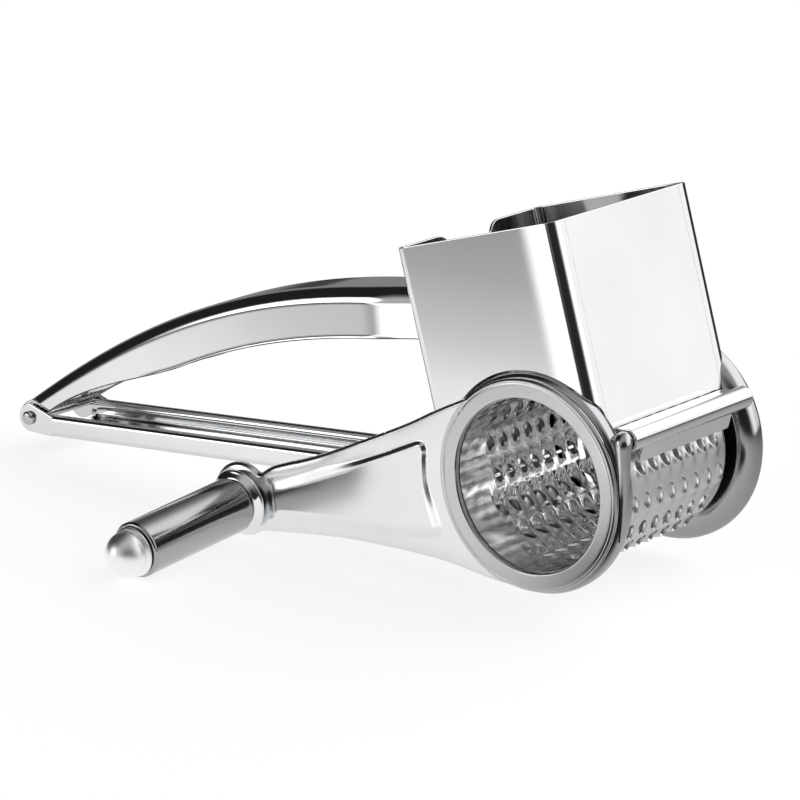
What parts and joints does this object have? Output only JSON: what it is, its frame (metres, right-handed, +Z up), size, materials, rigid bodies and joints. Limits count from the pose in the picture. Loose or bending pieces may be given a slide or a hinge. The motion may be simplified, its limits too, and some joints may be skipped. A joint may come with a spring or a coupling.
{
  "type": "rotary cheese grater",
  "caption": "Hand-cranked rotary grater: a leaning hopper over a toothed drum between rolled cheeks, a side crank with a turning knob, and a press handle hinged at the tail.",
  "frame": {"origin": "middle of the footprint of the whole grater, at its lowest point", "axes": "+Z up; +X to the front, away from the handles; -Y towards the crank; the drum's axis lies along Y"},
  "size_m": [0.2062, 0.1038, 0.0914],
  "materials": {
    "polished_steel": "mirror-polished stainless sheet",
    "satin_steel": "satin stainless",
    "knob_steel": "polished stainless tube"
  },
  "bodies": {
    "frame": {"hopper": "polished_steel", "cheek_crank_side": "polished_steel", "cheek_far_side": "polished_steel", "front_bar": "polished_steel", "throat_web": "polished_steel", "rear_saddle": "polished_steel", "handle_foot": "polished_steel", "foot_rivet_crank_side": "satin_steel", "foot_rivet_far_side": "satin_steel", "lower_handle": "polished_steel", "hinge_pin": "satin_steel", "pin_head_crank_side": "satin_steel", "pin_head_far_side": "satin_steel", "bearing_ring": "satin_steel"},
    "press_handle": {"upper_handle": "polished_steel", "presser_tray": "polished_steel", "presser_stem": "polished_steel", "stem_rivet_crank_side": "satin_steel", "stem_rivet_far_side": "satin_steel", "tray_rivet": "satin_steel"},
    "crank": {"grating_drum": "satin_steel", "drum_collar": "polished_steel", "drum_end_cap": "satin_steel", "drum_spindle": "satin_steel", "spindle_nut": "satin_steel", "crank_arm": "polished_steel", "knob_collar": "polished_steel", "knob_axle": "satin_steel"},
    "knob": {"knob_sleeve": "knob_steel"}
  },
  "joints": [
    {"name": "press_handle_hinge", "type": "hinge", "parent": "frame", "child": "press_handle", "pos_m": [-0.09882, 0.02376, 0.00928], "axis": [0, -1, 0], "range_deg": [0, 80]},
    {"name": "crank_spin", "type": "hinge", "parent": "frame", "child": "crank", "pos_m": [0.07668, 0.02376, 0.03008], "axis": [0, -1, 0], "continuous": true},
    {"name": "knob_spin", "type": "hinge", "parent": "crank", "child": "knob", "pos_m": [-0.00892, -0.00614, 0.00978], "axis": [0, -0.9968, -0.0797], "continuous": true}
  ]
}
